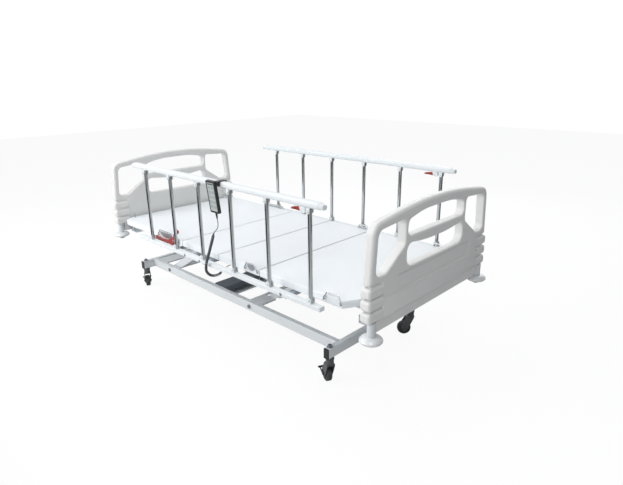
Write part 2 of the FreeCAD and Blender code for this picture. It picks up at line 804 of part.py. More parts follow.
def board_posts():
    """Four corner posts, each with the stem and cap nut that carry a bumper roller."""
    solids = []
    for x in (-post_x, post_x):
        for side in (-1, 1):
            y = side * post_y
            post = upright_rod(x, y, bumper_top + clear, corner_bottom, post_radius)
            stem = upright_rod(x, y, bumper_bottom - 4, bumper_top + 1, bumper_bore - running)
            nut = turned([(0.5, 366, 0.4), (15, 366, 3), (15, bumper_bottom - clear, 1),
                          (0.5, bumper_bottom - clear, 0.4)], x, y)
            solids.append(fused([post, stem, nut]))
    return solids


def bumper(x, y):
    """Rounded roller that turns on the stem of a corner post."""
    roller = turned([(bumper_bore, bumper_bottom, 0), (36, bumper_bottom, 0),
                     (43, bumper_bottom + 4, 0), (bumper_radius + 1, 391, 8),
                     (41, bumper_top - 5, 0), (34, bumper_top - 1.5, 0),
                     (24, bumper_top, 0), (bumper_bore, bumper_top, 0)], x, y)
    return roller


def bed_frame():
    """Upper frame: long tubes, cross tubes, rail outriggers, rests and board brackets."""
    solids = []
    end_inner = frame_end_x - 20
    for side in (-1, 1):
        outer = side * long_tube_outer
        inner = side * frame_inner
        tube = hollow_tube(-end_inner, end_inner, outer, inner, frame_bottom, frame_top,
                           frame_wall, 4, along_x)
        pins = []
        for pivot in (head_arm_x, foot_arm_x):
            x = pivot + arm_run
            tube = tube.cut(cross_rod(x, frame_pivot_z, outer * 1.1, inner * 0.9,
                                      pivot_radius))
            pins.append(cross_rod(x, frame_pivot_z, outer + side * 2,
                                  side * (arm_outer - arm_width - 2), pivot_radius))
        solids.append(fused([tube] + pins))
    for x in (-frame_end_x, frame_end_x):
        solids.append(hollow_tube(x - 20, x + 20, -frame_end_half, frame_end_half, frame_bottom,
                                  frame_top, frame_wall, 4, along_y))
    for x in (head_cross_x, back_tube_x, knee_tube_x):
        solids.append(hollow_tube(x - 20, x + 20, -frame_inner, frame_inner, frame_bottom,
                                  frame_top, frame_wall, 4, along_y))
    return solids


def frame_brackets():
    """Welded pieces of the upper frame that carry the boards, rails, panels and actuators."""
    solids = []
    for x_side in (-1, 1):
        for side in (-1, 1):
            shelf = block(x_side * (frame_end_x + 20), x_side * board_inner, side * shelf_inner,
                          side * (rib_inner - 5), frame_bottom, lip_bottom - 6)
            flange = block(x_side * (board_inner - 6), x_side * board_inner, side * shelf_inner,
                           side * (rib_inner - 5), frame_bottom, deck_top - flange_top_gap)
            solids.append(fused([shelf, flange]))
    for side in (-1, 1):
        for x in outrigger_places:
            arm = block(x - 15, x + 15, side * long_tube_outer, side * (rail_offset - 8),
                        bar_bottom - outrigger_depth, bar_bottom)
            root = block(x - 15, x + 15, side * long_tube_outer, side * (long_tube_outer + 20),
                         frame_top - 8, bar_bottom)
            solids.append(fused([arm, root]))
        for x, gap in ((seat_rests[0], 0), (seat_rests[1], 0), (back_rest_x, clear),
                       (leg_rest_x, rib_depth + clear)):
            rest_top = plate_under - gap
            y = side * (long_tube_outer - frame_width / 2)
            solids.append(block(x - 14, x + 14, y - 11, y + 11, frame_top, rest_top))
    for rear_x, rear_z, centre_y, face in ((back_rear_x, back_rear_z, back_y, back_tube_x - 20),
                                           (knee_rear_x, knee_rear_z, knee_y, knee_tube_x - 20)):
        ears = []
        for side in (-1, 1):
            y = centre_y + side * 15.5
            ears.append(plate_xz([(rear_x - 14, rear_z - 14, 12), (rear_x - 14, rear_z + 14, 12),
                                  (face, frame_top - 4, 1), (face, frame_bottom - 10, 8)],
                                 y - 3, y + 3))
        ears.append(cross_rod(rear_x, rear_z, centre_y - 22, centre_y + 22, eye_pin))
        solids.append(fused(ears))
    return solids


# Red release lever: its pivot, and outlines counted from it
release_x = -352.0
release_z = deck_top - 5.0
release_pin = 5.0
lever_outer = -454.0
lever_inner = -444.0
release_grip = [(-214, -8, 7), (-201, -34, 7), (-118, -39, 60), (-20, -26, 30),
                (24, 28, 12), (34, 48, 5), (18, 52, 5), (-14, 12, 24),
                (-78, -12, 70), (-148, -19, 60)]
release_prong = [(-28, 0, 6), (2, -6, 8), (-26, -48, 18), (-100, -60, 5),
                 (-104, -50, 4), (-48, -32, 18)]


def from_release(outline):
    """Outline moved from the lever's pivot to its place on the bed."""
    return [(release_x + a, release_z + b, r) for a, b, r in outline]


def lever_stand():
    """Angle bracket outside the platform's lip that carries the red release lever."""
    inner = -deck_half_width - 6
    outer = inner - 5
    half = 20.0
    foot = block(release_x - half, release_x + half, -long_tube_outer, outer, frame_top - 8,
                 frame_top - 2)
    upright = plate_xz([(release_x - half, frame_top - 8, 2), (release_x + half, frame_top - 8, 2),
                        (release_x + half, release_z + 16, 12),
                        (release_x - half, release_z + 16, 12)], outer, inner)
    pin = cross_rod(release_x, release_z, outer, lever_outer - 4, release_pin)
    return fused([foot, upright, pin])


def release_lever():
    """Red back release handle: a long curved grip, a lower prong and an end knob."""
    grip = plate_xz(from_release(release_grip), lever_outer, lever_inner)
    prong = plate_xz(from_release(release_prong), lever_outer, lever_inner)
    boss = cross_rod(release_x, release_z, lever_outer - 1, lever_inner + 1, 15)
    knob = Part.makeSphere(13, Vector(release_x + 34, (lever_outer + lever_inner) / 2,
                                      release_z + 56))
    lever = fused([grip, prong, boss, knob])
    return lever.cut(cross_rod(release_x, release_z, lever_outer - 20, lever_inner + 20,
                               release_pin + running))


def rail_post_x(index):
    """Place of one rail post along the bed."""
    return rail_post_first + index * rail_post_pitch


def rail_bar():
    """Right rail's bottom bar with a clevis and pin for each post."""
    y = -rail_offset
    half = bar_width / 2
    parts = [hollow_tube(bar_head + 3, bar_foot - 3, y - half, y + half, bar_bottom, bar_top,
                         1.5, 3, along_x)]
    for end, step in ((bar_head, 3), (bar_foot, -3)):
        parts.append(rounded_block(end, end + step, y - half, y + half, bar_bottom, bar_top, 3,
                                   along_x))
    for index in range(rail_post_count):
        x = rail_post_x(index)
        for side in (-1, 1):
            inner = y + side * (rail_post_radius + 0.5)
            outer = y + side * (rail_post_radius + 4)
            parts.append(plate_xz([(x - 12, bar_top - 1, 1), (x + 12, bar_top - 1, 1),
                                   (x + 10, rail_pin_low + 12, 7), (x - 10, rail_pin_low + 12, 7)],
                                  inner, outer))
        parts.append(cross_rod(x, rail_pin_low, y - 16, y + 15, rail_pin_radius))
        parts.append(hex_prism(Vector(x, y - rail_post_radius - 4, rail_pin_low),
                               Vector(0, -1, 0), 10, 4))
    return fused(parts)


def rail_post(index):
    """Right rail's post: chromed tube with plugged ends, cross drilled for its two pins."""
    x = rail_post_x(index)
    y = -rail_offset
    low = rail_pin_low - 6
    high = rail_pin_high + 10
    post = upright_rod(x, y, low, high, rail_post_radius)
    post = post.cut(upright_rod(x, y, low + 22, high - 26, rail_post_radius - rail_post_wall))
    for z in (rail_pin_low, rail_pin_high):
        post = post.cut(cross_rod(x, z, y - 20, y + 20, rail_pin_radius + running))
    return post


def rail_top():
    """Right rail's top tube with tapered ends, a clevis over each post and the lock body."""
    y = -rail_offset
    half = top_tube_width / 2
    high = top_tube_bottom + top_tube_depth
    cap = 26.0
    parts = [hollow_tube(top_tube_head + cap, top_tube_foot - cap, y - half, y + half,
                         top_tube_bottom, high, 2, 10, along_x)]
    for end, step in ((top_tube_head, 1), (top_tube_foot, -1)):
        root = end + step * cap
        large = rounded_loop([(y - half, top_tube_bottom, 10), (y + half, top_tube_bottom, 10),
                              (y + half, high, 10), (y - half, high, 10)],
                             lambda p: Vector(root, p.x, p.y))
        small = rounded_loop([(y - half + 6, top_tube_bottom + 2, 7),
                              (y + half - 6, top_tube_bottom + 2, 7),
                              (y + half - 6, high - 7, 7), (y - half + 6, high - 7, 7)],
                             lambda p: Vector(end, p.x, p.y))
        parts.append(Part.makeLoft([large, small], True))
    for index in range(rail_post_count):
        x = rail_post_x(index)
        for side in (-1, 1):
            inner = y + side * (rail_post_radius + 0.5)
            outer = y + side * (rail_post_radius + 3.5)
            parts.append(plate_xz([(x - 11, top_tube_bottom + 1, 1),
                                   (x + 11, top_tube_bottom + 1, 1),
                                   (x + 8, rail_pin_high - 9, 6), (x - 8, rail_pin_high - 9, 6)],
                                  inner, outer))
        parts.append(cross_rod(x, rail_pin_high, y - 16, y + 15, rail_pin_radius))
        parts.append(hex_prism(Vector(x, y - rail_post_radius - 3.5, rail_pin_high),
                               Vector(0, -1, 0), 10, 4))
    lock_x = rail_post_x(rail_post_count - 1)
    for side in (-1, 1):
        y0 = y + side * 8.5
        parts.append(plate_xz([(lock_x - 48, top_tube_bottom + 1, 1),
                               (lock_x - 16, top_tube_bottom + 1, 1), (lock_x - 14, 868, 5),
                               (lock_x - 40, 868, 6)], y0, y0 + side * 4))
    parts.append(cross_rod(lock_x - 34, lock_pin_z, y - 14, y + 14, 2.5))
    return fused(parts)


lock_pin_z = 880.0


def rail_lock():
    """Red lock lever that hangs under the right rail's top tube."""
    y = -rail_offset
    x = rail_post_x(rail_post_count - 1) - 34
    lever = plate_xz([(x + 9, lock_pin_z + 8, 4), (x + 9, lock_pin_z - 9, 6),
                      (x - 12, lock_pin_z - 9, 10), (x - 58, lock_pin_z - 6, 4),
                      (x - 60, lock_pin_z + 1, 3), (x - 14, lock_pin_z + 8, 12)],
                     y - 8, y + 8)
    tab = soft_block(x - 62, x - 40, y - 12, y + 12, lock_pin_z - 7, lock_pin_z, 2.5)
    return fused([lever, tab]).cut(cross_rod(x, lock_pin_z, y - 20, y + 20, 2.5 + running))


# Hand control and its cord
handset_x0 = 143.0
handset_x1 = 210.0
handset_top = 925.0
handset_height = 157.0
handset_thickness = 15.0
handset_tilt = 6.6
handset_face_y = -545.0
cord_radius = 2.2
coil_radius = 7.5


def handset():
    """Slim hand control, leaning in at its foot, with a hook over the rail's top tube."""
    case = block(handset_x0, handset_x1, 0, handset_thickness, -handset_height, 0)
    case = case.makeFillet(5, [e for e in case.Edges if e.Length < handset_thickness + 1])
    rim = [e for e in case.Edges if e.BoundBox.YMax < 0.1]
    case = case.makeFillet(2, rim)
    window = rounded_block(handset_x0 + 7, handset_x1 - 7, -1, 1.2, -handset_height + 9, -9, 4,
                           along_y)
    case = case.cut(window)
    relief = Part.makeCone(3.2, 5.5, 30, Vector(178, handset_thickness / 2, -handset_height - 30),
                           along_z)
    body = fused([case, relief])
    body.rotate(Vector(0, 0, 0), along_x, handset_tilt)
    body.translate(Vector(0, handset_face_y, handset_top))
    y_out = -rail_offset - top_tube_width / 2 - clear
    y_in = -rail_offset + top_tube_width / 2 + clear
    high = top_tube_bottom + top_tube_depth + clear
    hook = [block(186, 214, y_out - 20, y_out, high - 16, high + 3),
            block(186, 214, y_out - 20, y_in + 3, high, high + 3),
            block(186, 214, y_in, y_in + 3, high - 14, high + 3)]
    return fused([body] + hook)


def bent_tube(points, radius):
    """Round tube along straight runs joined by tangent arcs, each as large as fits."""
    edges = []
    last = points[0]
    radii = []
    length = 0.0
    for i in range(1, len(points) - 1):
        corner = points[i]
        before = points[i - 1] - corner
        after = points[i + 1] - corner
        shorter = min(before.Length, after.Length)
        before.normalize()
        after.normalize()
        half_turn = (math.pi - before.getAngle(after)) / 2
        reach = 0.45 * shorter
        bend = reach / math.tan(half_turn)
        inward = before + after
        inward.normalize()
        start = corner + before * reach
        middle = corner + inward * (bend / math.cos(half_turn) - bend)
        end = corner + after * reach
        edges.append(Part.LineSegment(last, start).toShape())
        edges.append(Part.Arc(start, middle, end).toShape())
        radii.append(round(bend, 1))
        last = end
    edges.append(Part.LineSegment(last, points[-1]).toShape())
    path = Part.Wire(edges)
    first = points[1] - points[0]
    section = Part.Wire([Part.makeCircle(radius, points[0], first)])
    tube = path.makePipeShell([section], True, False)
    length = path.Length
    share = tube.Volume / (math.pi * radius * radius * length)
    print("tube radii", radii, "length", round(length, 1), "volume share", round(share, 4))
    return tube


# The cord's route: a straight lead from the hand control, the curly stretch, and a straight
# lead that passes under the rail's bar to the control box
lead_route = [Vector(178, -516.06, 740.1), Vector(178, -514.6, 727.4), Vector(180, -514.5, 711),
              Vector(177, -517, 694), Vector(168, -522, 681), Vector(156.45, -525, 671.39),
              Vector(149, -525, 655)]
coil_route = [Vector(149, -525, 655), Vector(134, -525, 622), Vector(117, -525, 588),
              Vector(101, -525, 554), Vector(84, -525.5, 520), Vector(68, -526, 486),
              Vector(60, -526, 440), Vector(68.2, -499.9, 412), Vector(79.8, -463, 411),
              Vector(84.9, -446.8, 427.6)]
tail_route = [Vector(84.9, -446.8, 427.6), Vector(88.335, -435.886, 438.784), Vector(95, -418, 450),
              Vector(106, -392, 457), Vector(118, -360, 461), Vector(129, -322, 465),
              Vector(138, -288, 468), Vector(145, -262, 470), Vector(145, -243, 470)]


# Control box on the cross tube behind the seat
box_half_length = 72.0
box_inner_y = -112.0
box_outer_y = -232.0
box_height = 42.0
socket_pitch = 35.0
socket_radius = 7.0
socket_reach = 11.0


def control_box():
    """Sealed electronics box on a cross tube, with a row of sockets on its outer face."""
    box = rounded_block(back_tube_x - box_half_length, back_tube_x + box_half_length,
                        box_outer_y, box_inner_y, frame_top, frame_top + box_height, 8, along_z)
    sockets = []
    height = frame_top + box_height / 2
    for step in (-1, 0, 1):
        x = back_tube_x + step * socket_pitch
        sockets.append(rod(Vector(x, box_outer_y - socket_reach, height),
                           Vector(x, box_outer_y + 2, height), socket_radius))
    return fused([box] + sockets)


def build():
    """Make and write every node."""
    total = 0
    total += export("base_frame", base_frame())
    total += export("base_end_caps", base_caps())
    total += export("base_bolts", base_bolts())
    casters = (("head_right", head_tube_x, -1, 157, True), ("head_left", head_tube_x, 1, 200, False),
               ("foot_right", foot_tube_x, -1, 153, True), ("foot_left", foot_tube_x, 1, 222, False))
    for name, x, side, angle, braked in casters:
        y = side * caster_offset
        total += export("caster_fork_" + name, [caster_fork(x, y, angle)])
        total += export("caster_wheel_" + name, [caster_wheel(x, y, angle)])
        if braked:
            total += export("brake_pedal_" + name, [brake_pedal(x, y, angle)])

    lift_tip = lever_tip(head_arm_x, arm_pivot_z, lift_lever_reach, lift_lever_angle)
    arms = [lift_arms(head_arm_x, head_torsion_reach, arm_outer, head_arm_depth)]
    arms += lever_pair(head_arm_x, arm_pivot_z, lift_tip, lift_y, 26)
    total += export("head_lift_arms", [fused(arms)])
    arms = lift_arms(foot_arm_x, foot_torsion_reach, foot_arm_outer, arm_depth)
    total += export("foot_lift_arms", [arms])

    back_tip = lever_tip(back_seam, hinge_z, back_lever_reach, back_lever_angle)
    knee_tip = lever_tip(thigh_seam, hinge_z, knee_lever_reach, knee_lever_angle)
    drives = (("lift", Vector(lift_rear_x, 0, lift_rear_z), lift_tip, lift_y, lift_slack,
               400, 110, 0),
              ("back", Vector(back_rear_x, 0, back_rear_z), back_tip, back_y, back_slack,
               330, 75, 110),
              ("knee", Vector(knee_rear_x, 0, knee_rear_z), knee_tip, knee_y, knee_slack,
               400, 150, 110))
    for name, rear, tip, y, slack, tube_length, rod_start, motor_length in drives:
        housing, slide = actuator(rear, tip, y, slack, tube_length, rod_start, motor_length)
        if name == "lift":
            housing = fused([housing] + lift_motor())
        total += export(name + "_actuator", [housing])
        total += export(name + "_rod", [slide])

    total += export("bed_frame", bed_frame())
    total += export("frame_brackets", frame_brackets() + [lever_stand()])
    total += export("control_box", [control_box()])
    total += export("release_lever", [release_lever()])
    total += export("back_section", [back_section()])
    total += export("seat_section", [seat_section()])
    total += export("thigh_section", [thigh_section()])
    total += export("leg_section", [leg_section()])
    loops = both_sides(lip_hook(-960, -1))
    for side in (-1, 1):
        loop = wire_loop(-553, -385, side, 6, 16, 12)
        loops.append(fused([loop, keeper_plate(-553, -385, side, 10)]))
    total += export("back_keepers", loops)
    loops = []
    for side in (-1, 1):
        loop = wire_loop(262, 356, side, 0, 20, 20)
        loops.append(fused([loop, keeper_plate(262, 356, side, 12)]))
    total += export("thigh_keepers", loops)
    total += export("leg_keepers", both_sides(wire_loop(786, 880, -1, 6, 16, 14)))

    board = foot_board_solid()
    total += export("foot_board", [board])
    total += export("head_board", [mirrored_x(board)])
    total += export("board_posts", board_posts())
    for name, x, side in (("head_right", -post_x, -1), ("head_left", -post_x, 1),
                          ("foot_right", post_x, -1), ("foot_left", post_x, 1)):
        total += export("bumper_" + name, [bumper(x, side * post_y)])

    bar = rail_bar()
    total += export("right_rail_bar", [bar])
    total += export("left_rail_bar", [mirrored_y(bar)])
    top = rail_top()
    total += export("right_rail_top", [top])
    total += export("left_rail_top", [mirrored_y(top)])
    lock = rail_lock()
    total += export("right_rail_lock", [lock])
    total += export("left_rail_lock", [mirrored_y(lock)])
    for index in range(rail_post_count):
        post = rail_post(index)
        total += export("right_rail_post_" + str(index + 1), [post])
        total += export("left_rail_post_" + str(index + 1), [mirrored_y(post)])

    total += export("handset", [handset()])
    total += export("handset_cord", [bent_tube(lead_route, cord_radius),
                                     bent_tube(tail_route, cord_radius)])
    total += export("curly_cord", [bent_tube(coil_route, coil_radius)])
    print("facets in all", total)


build()
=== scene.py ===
import json
import math

import bmesh
import bpy
from mathutils import Matrix, Vector


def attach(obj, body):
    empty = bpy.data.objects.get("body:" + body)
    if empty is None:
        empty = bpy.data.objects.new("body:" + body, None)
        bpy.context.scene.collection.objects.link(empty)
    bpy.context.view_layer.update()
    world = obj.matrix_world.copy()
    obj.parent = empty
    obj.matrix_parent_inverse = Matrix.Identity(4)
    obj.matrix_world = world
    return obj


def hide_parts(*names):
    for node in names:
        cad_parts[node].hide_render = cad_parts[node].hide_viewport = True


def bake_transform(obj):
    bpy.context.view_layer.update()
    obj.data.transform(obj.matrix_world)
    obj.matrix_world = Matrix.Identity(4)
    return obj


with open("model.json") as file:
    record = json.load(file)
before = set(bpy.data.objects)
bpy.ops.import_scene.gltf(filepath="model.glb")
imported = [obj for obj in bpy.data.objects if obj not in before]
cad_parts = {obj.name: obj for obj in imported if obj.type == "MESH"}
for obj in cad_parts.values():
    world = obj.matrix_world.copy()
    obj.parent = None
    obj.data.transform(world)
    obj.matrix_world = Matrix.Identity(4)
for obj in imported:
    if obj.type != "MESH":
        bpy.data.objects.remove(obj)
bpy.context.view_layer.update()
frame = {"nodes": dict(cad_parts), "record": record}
nodes = frame["nodes"]
scene = bpy.context.scene


# Camera: its place in metres, and the view's turn, dip and lean
camera_place = Vector((2.0854, -1.8415, 1.3722))
camera_azimuth = math.radians(44.165)
camera_elevation = math.radians(18.349)
camera_lean = math.radians(-0.6515)
camera_lens = 28.845
camera_sensor = 36
camera_reach = 100


def make_camera():
    """Camera at the photograph's viewpoint."""
    forward = Vector((-math.sin(camera_azimuth) * math.cos(camera_elevation),
                      math.cos(camera_azimuth) * math.cos(camera_elevation),
                      -math.sin(camera_elevation)))
    level = Vector((math.cos(camera_azimuth), math.sin(camera_azimuth), 0))
    upward = level.cross(forward)
    right = level * math.cos(camera_lean) + upward * math.sin(camera_lean)
    top = upward * math.cos(camera_lean) - level * math.sin(camera_lean)
    data = bpy.data.cameras.new("camera")
    data.lens = camera_lens
    data.sensor_width = camera_sensor
    data.clip_end = camera_reach
    camera = bpy.data.objects.new("camera", data)
    scene.collection.objects.link(camera)
    turn = Matrix((right, top, -forward)).transposed().to_4x4()
    camera.matrix_world = Matrix.Translation(camera_place) @ turn
    scene.camera = camera


make_camera()


# Shaders: sockets with arithmetic, and one method that makes every other node
class Wire:
    """An output socket; an expression on wires adds its Math nodes."""

    def __init__(self, network, socket):
        self.network = network
        self.socket = socket

    def math(self, operation, first, second):
        return self.network.node("ShaderNodeMath", {"operation": operation},
                                 {0: first, 1: second})

    def __add__(self, other):
        return self.math("ADD", self, other)

    __radd__ = __add__

    def __mul__(self, other):
        return self.math("MULTIPLY", self, other)

    __rmul__ = __mul__

    def __sub__(self, other):
        return self.math("SUBTRACT", self, other)

    def __rsub__(self, other):
        return self.math("SUBTRACT", other, self)

    def between(self, low, high):
        """0 at low and 1 at high, eased and clamped."""
        return self.network.node("ShaderNodeMapRange",
                                 {"interpolation_type": "SMOOTHSTEP", "clamp": True},
                                 {"Value": self, "From Min": low, "From Max": high})

    def above(self, level, soft):
        """0 below a level and 1 above it, with a short soft step."""
        return self.between(level - soft, level + soft)


class Network:
    """The nodes of one shader."""

    def __init__(self, tree):
        self.tree = tree

    def node(self, kind, settings, values, output=0):
        made = self.tree.nodes.new(kind)
        for key, value in settings.items():
            setattr(made, key, value)
        for key, value in values.items():
            self.feed(made.inputs[key], value)
        return Wire(self, made.outputs[output])

    def feed(self, socket, value):
        if isinstance(value, Wire):
            self.tree.links.new(value.socket, socket)
        elif isinstance(value, tuple) and len(value) == 3 and socket.type == "RGBA":
            socket.default_value = (*value, 1)
        else:
            socket.default_value = value

    def ray(self, kind):
        """1 for rays of a kind and 0 for all others."""
        return self.node("ShaderNodeLightPath", {}, {}, "Is " + kind + " Ray")

    def choose(self, share, first, second):
        """Blend of two shaders."""
        return self.node("ShaderNodeMixShader", {}, {0: share, 1: first, 2: second})


class Finish(Network):
    """A material under construction."""

    def __init__(self, name):
        self.material = bpy.data.materials.new(name)
        self.material.use_nodes = True
        super().__init__(self.material.node_tree)
        self.shader = self.tree.nodes["Principled BSDF"]
        self.places = self.node("ShaderNodeTexCoord", {}, {}, "Object")

    def noise(self, scale, detail, roughness=0.5, place=None):
        return self.node("ShaderNodeTexNoise", {},
                         {"Vector": place or self.places, "Scale": scale, "Detail": detail,
                          "Roughness": roughness}, "Fac")

    def height(self):
        return self.node("ShaderNodeSeparateXYZ", {}, {"Vector": self.places}, "Z")

    def stretched(self, scales):
        """Coordinates scaled along each axis, for streaks and brushing."""
        return self.node("ShaderNodeMapping", {}, {"Vector": self.places, "Scale": scales})

    def mix(self, factor, first, second):
        """Blend of two colours."""
        return self.node("ShaderNodeMix", {"data_type": "RGBA"},
                         {0: factor, 6: first, 7: second}, 2)

    def drifting(self, colour, scale, share):
        """The colour with slow drifts toward a darker tone."""
        drift = self.noise(scale, 4).between(0.3, 0.7)
        return self.mix(drift, darker(colour, share), colour)

    def bump(self, height, strength, distance):
        return self.node("ShaderNodeBump", {}, {"Height": height, "Strength": strength,
                                                "Distance": distance}, "Normal")

    def shade(self, **values):
        for key, value in values.items():
            self.feed(self.shader.inputs[key.replace("_", " ")], value)
        return self.material


def tone(hex_code):
    """Linear colour from a plain sRGB code."""
    parts = [int(hex_code[i:i + 2], 16) / 255 for i in (0, 2, 4)]
    return tuple(p / 12.92 if p <= 0.04045 else ((p + 0.055) / 1.055) ** 2.4 for p in parts)


def darker(colour, share):
    return tuple(part * share for part in colour)


def powder_coat(name, colour, gloss=0.38):
    """Sprayed and baked paint: faint orange peel and slow drifts of tone."""
    finish = Finish(name)
    base = finish.drifting(colour, 3.5, 0.965)
    speck = finish.noise(240, 2).between(0.62, 0.75)
    base = finish.mix(speck * 0.12, base, darker(colour, 0.8))
    rough = gloss + finish.noise(30, 3) * 0.1
    peel = finish.bump(finish.noise(900, 2), 0.25, 0.0004)
    return finish.shade(Base_Color=base, Roughness=rough, Normal=peel)


def moulded(name, colour, gloss, grain=0.3, coat=0.0):
    """Injection or blow moulded plastic with a fine grain."""
    finish = Finish(name)
    base = finish.drifting(colour, 4, 0.96)
    scuff = finish.noise(60, 5, 0.7).between(0.66, 0.8)
    base = finish.mix(scuff * 0.18, base, darker(colour, 0.85))
    rough = gloss + finish.noise(18, 4) * 0.12
    normal = finish.bump(finish.noise(1600, 1), grain, 0.0003)
    return finish.shade(Base_Color=base, Roughness=rough, Normal=normal, Coat_Weight=coat)


def metal(name, colour, gloss, streaks=(40, 40, 900)):
    """Polished or brushed steel with faint streaks."""
    finish = Finish(name)
    streak = finish.noise(1, 3, 0.6, finish.stretched(streaks))
    base = finish.mix(streak.between(0.3, 0.7), darker(colour, 0.86), colour)
    rough = gloss + streak * 0.08
    normal = finish.bump(streak, 0.15, 0.0002)
    return finish.shade(Base_Color=base, Roughness=rough, Metallic=1.0, Normal=normal)


def rubber(name, colour, gloss=0.62):
    """Dull rubber, paler where dust sits."""
    finish = Finish(name)
    dust = finish.noise(45, 5, 0.65).between(0.5, 0.75)
    base = finish.mix(dust * 0.35, colour, tuple(part + 0.05 for part in colour))
    normal = finish.bump(finish.noise(700, 2), 0.3, 0.0003)
    return finish.shade(Base_Color=base, Roughness=gloss + dust * 0.12, Normal=normal)


cap_nut_top = 0.378
cap_nut_soft = 0.0005


def corner_post_paint(name, colour):
    """Board posts: painted tube above, dark cap nut below the roller."""
    finish = Finish(name)
    nut = 1 - finish.height().above(cap_nut_top, cap_nut_soft)
    base = finish.drifting(colour, 6, 0.95)
    base = finish.mix(nut, base, tone("3a3d40"))
    peel = finish.bump(finish.noise(900, 2), 0.25, 0.0004)
    return finish.shade(Base_Color=base, Roughness=0.36 + nut * 0.12, Normal=peel)


even_grain = (300, 300, 300)
finishes = {
    "base_paint": powder_coat("base_powder_coat", tone("d6dadc")),
    "black_plastic": moulded("black_end_plastic", tone("1b1c1e"), 0.45),
    "zinc": metal("zinc_bolts", tone("8d9196"), 0.3, even_grain),
    "caster_black": moulded("caster_nylon", tone("4b4d4e"), 0.4),
    "caster_tyre": rubber("caster_rubber", tone("3a3c3d")),
    "pedal_black": moulded("pedal_nylon", tone("1d1e20"), 0.4),
    "frame_paint": powder_coat("frame_powder_coat", tone("e0e5e7"), 0.34),
    "bracket_paint": powder_coat("bracket_powder_coat", tone("9aa3ad"), 0.4),
    "deck_paint": powder_coat("platform_powder_coat", tone("e9edf0"), 0.42),
    "wire_plate": metal("keeper_zinc_plate", tone("b7bbbf"), 0.3, even_grain),
    "board_plastic": moulded("board_plastic", tone("e3e3e1"), 0.4),
    "post_paint": corner_post_paint("corner_post_paint", tone("d9dde0")),
    "bumper_plastic": moulded("bumper_plastic", tone("e4e7e8"), 0.2, 0.1, 0.5),
    "post_chrome": metal("rail_post_chrome", tone("c4c8c9"), 0.05),
    "red_plastic": moulded("red_lever_plastic", tone("962a22"), 0.36, 0.15, 0.1),
    "actuator_grey": moulded("actuator_plastic", tone("60686f"), 0.42),
    "rod_steel": metal("actuator_rod_steel", tone("c5c9cc"), 0.18),
    "box_plastic": moulded("control_box_plastic", tone("c3c7ca"), 0.45),
    "cord_rubber": rubber("cord_sheath", tone("4c5154"), 0.5),
}


def dress_frame():
    """Give every CAD node its finish."""
    for entry in frame["record"]["subparts"]:
        piece = nodes[entry["node"]]
        for place in piece.material_slots:
            place.material = finishes[entry["material_slot"]]


dress_frame()


# Mesh helpers
def new_piece(name, mesh, slot_name, body=None, finish=None):
    """Smooth object with a finish, riding on a body."""
    piece = bpy.data.objects.new(name, mesh)
    scene.collection.objects.link(piece)
    mesh.materials.clear()
    mesh.materials.append(finish or finishes[slot_name])
    for face in mesh.polygons:
        face.use_smooth = True
    if body:
        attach(piece, body)
    return piece


def mesh_from(name, bm, sharp=None):
    """Mesh of the points and faces; edges above the angle sharp, in degrees, stay sharp."""
    mesh = bpy.data.meshes.new(name)
    bm.normal_update()
    bm.to_mesh(mesh)
    bm.free()
    if sharp is not None:
        mesh.set_sharp_from_angle(angle=math.radians(sharp))
    return mesh


def circle(bm, centre, normal, side, radius, sides):
    """Points on a circle in the plane of two unit vectors."""
    ring = []
    for k in range(sides):
        turn = 2 * math.pi * k / sides
        offset = normal * math.cos(turn) + side * math.sin(turn)
        ring.append(bm.verts.new(centre + offset * radius))
    return ring


def join_rings(bm, rings):
    """Faces between closed rings of points, one ring after another."""
    count = len(rings[0])
    for first, second in zip(rings, rings[1:]):
        for k in range(count):
            after = (k + 1) % count
            bm.faces.new((first[k], first[after], second[after], second[k]))


def closed_tube(bm, rings):
    """Faces between the rings, and a face over each end."""
    join_rings(bm, rings)
    bm.faces.new(list(reversed(rings[0])))
    bm.faces.new(rings[-1])


def round_rectangle(x0, x1, y0, y1, corner, steps):
    """Corner centres and outward directions, in order round a rectangle with round corners."""
    points = []
    for cx, cy, start in ((x1 - corner, y1 - corner, 0), (x0 + corner, y1 - corner, 1),
                          (x0 + corner, y0 + corner, 2), (x1 - corner, y0 + corner, 3)):
        for k in range(steps + 1):
            turn = (start + k / steps) * math.pi / 2
            points.append((cx, cy, math.cos(turn), math.sin(turn)))
    return points


def add_face(bm, corners, sign):
    """Face that looks toward the foot end for sign 1, and toward the head end for sign -1."""
    bm.faces.new(corners if sign > 0 else tuple(reversed(corners)))


# Cords: the route's points are those of the CAD solids, in metres
lead_route = [(0.178, -0.51606, 0.7401), (0.178, -0.5146, 0.7274), (0.18, -0.5145, 0.711),
              (0.177, -0.517, 0.694), (0.168, -0.522, 0.681), (0.15645, -0.525, 0.67139),
              (0.149, -0.525, 0.655)]
coil_route = [(0.149, -0.525, 0.655), (0.134, -0.525, 0.622), (0.117, -0.525, 0.588),
              (0.101, -0.525, 0.554), (0.084, -0.5255, 0.52), (0.068, -0.526, 0.486),
              (0.06, -0.526, 0.44), (0.0682, -0.4999, 0.412), (0.0798, -0.463, 0.411),
              (0.0849, -0.4468, 0.4276)]
tail_route = [(0.0849, -0.4468, 0.4276), (0.088335, -0.435886, 0.438784),
              (0.095, -0.418, 0.45), (0.106, -0.392, 0.457), (0.118, -0.36, 0.461),
              (0.129, -0.322, 0.465), (0.138, -0.288, 0.468), (0.145, -0.262, 0.47),
              (0.145, -0.243, 0.47)]
cord_diameter = 0.0038
coil_outer = 0.0150
coil_pitch = 0.0052
coil_step = 0.0004
coil_start_ease = 0.006
coil_end_ease = 0.008
tail_skip = 8
boot_step = 0.0008
boot_points = 14
boot_radii = [0.0026, 0.0036, 0.0042, 0.0044, 0.0044, 0.004]


